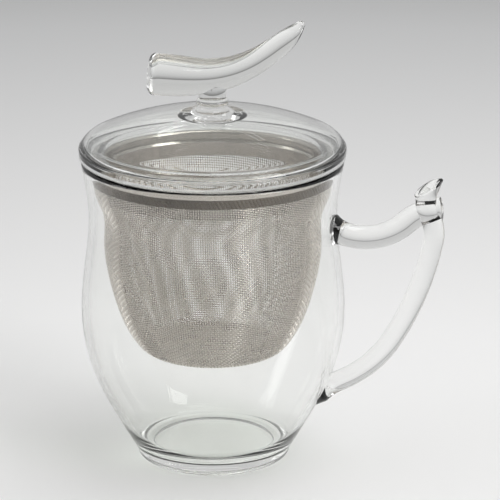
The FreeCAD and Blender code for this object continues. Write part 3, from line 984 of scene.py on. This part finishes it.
def wall_strands(infuser):
    """Upright columns and slanting rows of the cup's wall, woven over and under each other."""
    _, measured = cup_run(infuser)
    top = measured[-1]
    levels = np.arange(int(-WALL_START / infuser.row_pitch), int(2 * top / infuser.row_pitch))
    angle, place, present = woven_wall(infuser, levels)
    inside = present & (place > WALL_START) & (place < top)
    crest = np.where((levels[:, None] + np.arange(angle.shape[1])[None, :]) % 2 == 0, 1.0, -1.0)
    lift = crest * infuser.wire * infuser.bend

    def strand(picked, side):
        placed_points = on_cup(infuser, angle[picked], place[picked], side * lift[picked])
        return (*placed_points, side * crest[picked])

    columns = [strand((inside[:, j], j), -1) for j in range(angle.shape[1]) if inside[:, j].sum() > 2]
    crossing = []
    for i in range(len(levels)):
        ring = np.flatnonzero(present[i])
        kept = inside[i, ring]
        if not kept.any():
            continue
        ring = np.append(ring, ring[0]) if kept.all() else np.roll(ring, -int(np.argmin(kept)))
        kept = inside[i, ring]
        for part in np.split(ring, np.flatnonzero(np.diff(kept.astype(int))) + 1):
            if inside[i, part[0]] and len(part) > 2:
                crossing.append(strand((i, part), 1))
    return columns, crossing


def floor_strands(infuser):
    """Both directions of straight wires in the flat floor and its rounded edge."""
    pitch = infuser.floor_pitch
    reach = WALL_START + 0.6 * MM
    most = int(reach / pitch)
    steps = np.arange(-most - 1, most + 1)
    strands = []
    for swap in (False, True):
        for k in steps:
            fixed = np.full(len(steps), (k + 0.5) * pitch)
            moving = (steps + 0.5) * pitch
            spread = np.hypot(fixed, moving)
            kept = spread < reach
            if kept.sum() < 3:
                continue
            x, y = (moving, fixed) if swap else (fixed, moving)
            crest = np.where((steps + k) % 2 == 0, 1.0, -1.0) * (-1 if swap else 1)
            lift = crest * infuser.wire * infuser.bend
            angles = np.arctan2(y, x) + infuser.front + FLOOR_TURN
            strands.append((*on_cup(infuser, angles[kept], spread[kept], lift[kept]), crest[kept]))
    return strands


class TEAMUG_OT_cup(bpy.types.Operator):
    """Weave the infuser's cup from single steel wires"""
    bl_idname = "teamug.cup"
    bl_label = "Woven infuser cup"

    def execute(self, context):
        infuser = context.scene.teamug_infuser
        columns, crossing = wall_strands(infuser)
        # The uprights take the shaded copy of the wire steel: painted shade.
        pieces = (("cup_columns", columns, infuser.shaded_uprights), ("cup_rows", crossing, infuser.wires),
                  ("cup_floor_wires", floor_strands(infuser), infuser.wires))
        for name, strands, paint in pieces:
            wires = wires_object(name, strands, infuser.wire / 2)
            material = woven_steel(name + " steel", tuple(paint))
            finish_piece(wires, material, "infuser", "steel_mesh", "infuser_basket")
        return {"FINISHED"}


# Studio

def soft_lamp(name, place, aim, width, height, power):
    """Rectangular lamp at a place, turned towards its aim."""
    lamp = bpy.data.lights.new(name, "AREA")
    lamp.shape = "RECTANGLE"
    lamp.size, lamp.size_y, lamp.energy = width, height, power
    obj = bpy.data.objects.new(name, lamp)
    obj.location = place
    obj.rotation_euler = (Vector(aim) - Vector(place)).to_track_quat("-Z", "Y").to_euler()
    bpy.context.scene.collection.objects.link(obj)


def floor_paint(studio):
    """Pale floor, darker towards the edge of the studio as painted shade, where the lamps' light falls off.
    """
    material, shader = new_material("Studio floor")
    nodes, links = material.node_tree.nodes, material.node_tree.links
    place = nodes.new("ShaderNodeTexCoord")
    apart = nodes.new("ShaderNodeVectorMath")
    apart.operation = "LENGTH"
    # The darkening away from the mug is painted shade, not the floor's own colour.
    ramp = colour_ramp(nodes, (0.15, opaque(studio.floor_near)), (0.62, opaque(studio.floor_far)),
                       (1.0, (0.30, 0.30, 0.30, 1)))
    links.new(place.outputs["Object"], apart.inputs[0])
    links.new(apart.outputs["Value"], ramp.inputs["Fac"])
    links.new(ramp.outputs["Color"], shader.inputs["Base Color"])
    shader.inputs["Roughness"].default_value = 0.6
    shader.inputs["Specular IOR Level"].default_value = 0.1
    return material


def studio_air():
    """World of even grey light, brighter overhead and darker on the camera's side."""
    world = bpy.data.worlds.new("Studio air")
    world.use_nodes = True
    nodes, links = world.node_tree.nodes, world.node_tree.links
    place = nodes.new("ShaderNodeTexCoord")
    apart = nodes.new("ShaderNodeSeparateXYZ")
    ramp = colour_ramp(nodes, (0.02, (0.55, 0.55, 0.55, 1)), (0.75, (0.66, 0.66, 0.66, 1)))
    links.new(place.outputs["Generated"], apart.inputs["Vector"])
    links.new(apart.outputs["Z"], ramp.inputs["Fac"])
    towards_camera = nodes.new("ShaderNodeVectorMath")
    towards_camera.operation = "DOT_PRODUCT"
    towards_camera.inputs[1].default_value = (0.17, -0.95, 0.22)
    darkness = nodes.new("ShaderNodeMapRange")
    darkness.interpolation_type = "SMOOTHSTEP"
    darkness.inputs["From Min"].default_value = 0.35
    darkness.inputs["From Max"].default_value = 0.85
    dark_side = nodes.new("ShaderNodeRGB")
    dark_side.outputs["Color"].default_value = (0.24, 0.225, 0.21, 1)
    links.new(place.outputs["Generated"], towards_camera.inputs[0])
    links.new(towards_camera.outputs["Value"], darkness.inputs["Value"])
    air = colour_mix(world.node_tree, darkness.outputs["Result"], ramp.outputs["Color"],
                     dark_side.outputs["Color"])
    links.new(air, nodes["Background"].inputs["Color"])
    return world


def photo_camera(studio):
    """Camera at the photograph's angle, aimed a little off the mug's axis."""
    camera = bpy.data.cameras.new("photo_camera")
    camera.lens = studio.lens
    camera.sensor_width = 36.0
    camera.clip_start, camera.clip_end = 0.01, 20.0
    obj = bpy.data.objects.new("photo_camera", camera)
    bpy.context.scene.collection.objects.link(obj)
    a, e = studio.azimuth, studio.elevation
    back = Vector((math.sin(a) * math.cos(e), -math.cos(a) * math.cos(e), math.sin(e)))
    watched = Vector((0, 0, studio.watched_height))
    obj.location = watched + back * studio.distance
    right = Vector((math.cos(a), math.sin(a), 0))
    up = back.cross(right)
    target = watched + right * studio.look_right + up * studio.look_up
    obj.rotation_mode = "QUATERNION"
    obj.rotation_quaternion = (target - obj.location).to_track_quat("-Z", "Y")
    return obj


class TEAMUG_OT_studio(bpy.types.Operator):
    """Set up the floor, the soft lamps and the camera"""
    bl_idname = "teamug.studio"
    bl_label = "Studio"

    def execute(self, context):
        studio = context.scene.teamug_studio
        reach, sides, sunk = 1.15, 96, 0.05 * MM
        turns = [i * TURN / sides for i in range(sides)]
        rim = [(reach * math.cos(turn), reach * math.sin(turn), -sunk) for turn in turns]
        floor = new_object("studio_floor", rim, [tuple(range(sides))])
        floor.data.materials.append(floor_paint(studio))

        context.scene.world = studio_air()
        soft_lamp("left_softbox", (-1.0, -0.2, 0.45), aim=(0, 0, 0.06), width=0.25, height=0.7, power=1.0)
        soft_lamp("top_softbox", (0.25, 0.1, 1.2), aim=(0, 0, 0.05), width=0.8, height=0.6, power=3.9)
        soft_lamp("right_softbox", (0.9, -0.45, 0.7), aim=(0, 0, 0.07), width=0.5, height=0.7, power=5.4)
        context.scene.camera = photo_camera(studio)
        context.scene.view_settings.view_transform = "Standard"
        return {"FINISHED"}


class TEAMUG_PT_panel(bpy.types.Panel):
    """Buttons that build each part of the tea mug"""
    bl_idname = "TEAMUG_PT_panel"
    bl_label = "Tea mug"
    bl_space_type = "VIEW_3D"
    bl_region_type = "UI"
    bl_category = "Tea Mug"

    def draw(self, context):
        for operator in OPERATORS:
            self.layout.operator(operator.bl_idname)


SETTINGS = {
    "teamug_mug": MugSettings,
    "teamug_lid": LidSettings,
    "teamug_infuser": InfuserSettings,
    "teamug_studio": StudioSettings,
}
OPERATORS = [TEAMUG_OT_mug, TEAMUG_OT_lid, TEAMUG_OT_rim, TEAMUG_OT_cup, TEAMUG_OT_studio]


def register():
    for kind in list(SETTINGS.values()) + OPERATORS + [TEAMUG_PT_panel]:
        bpy.utils.register_class(kind)
    for name, kind in SETTINGS.items():
        setattr(bpy.types.Scene, name, bpy.props.PointerProperty(type=kind))


def unregister():
    for name in SETTINGS:
        delattr(bpy.types.Scene, name)
    for kind in reversed(list(SETTINGS.values()) + OPERATORS + [TEAMUG_PT_panel]):
        bpy.utils.unregister_class(kind)


def main():
    register()
    bpy.ops.teamug.mug()
    bpy.ops.teamug.lid()
    bpy.ops.teamug.rim()
    bpy.ops.teamug.cup()
    bpy.ops.teamug.studio()


if __name__ == "__main__":
    main()
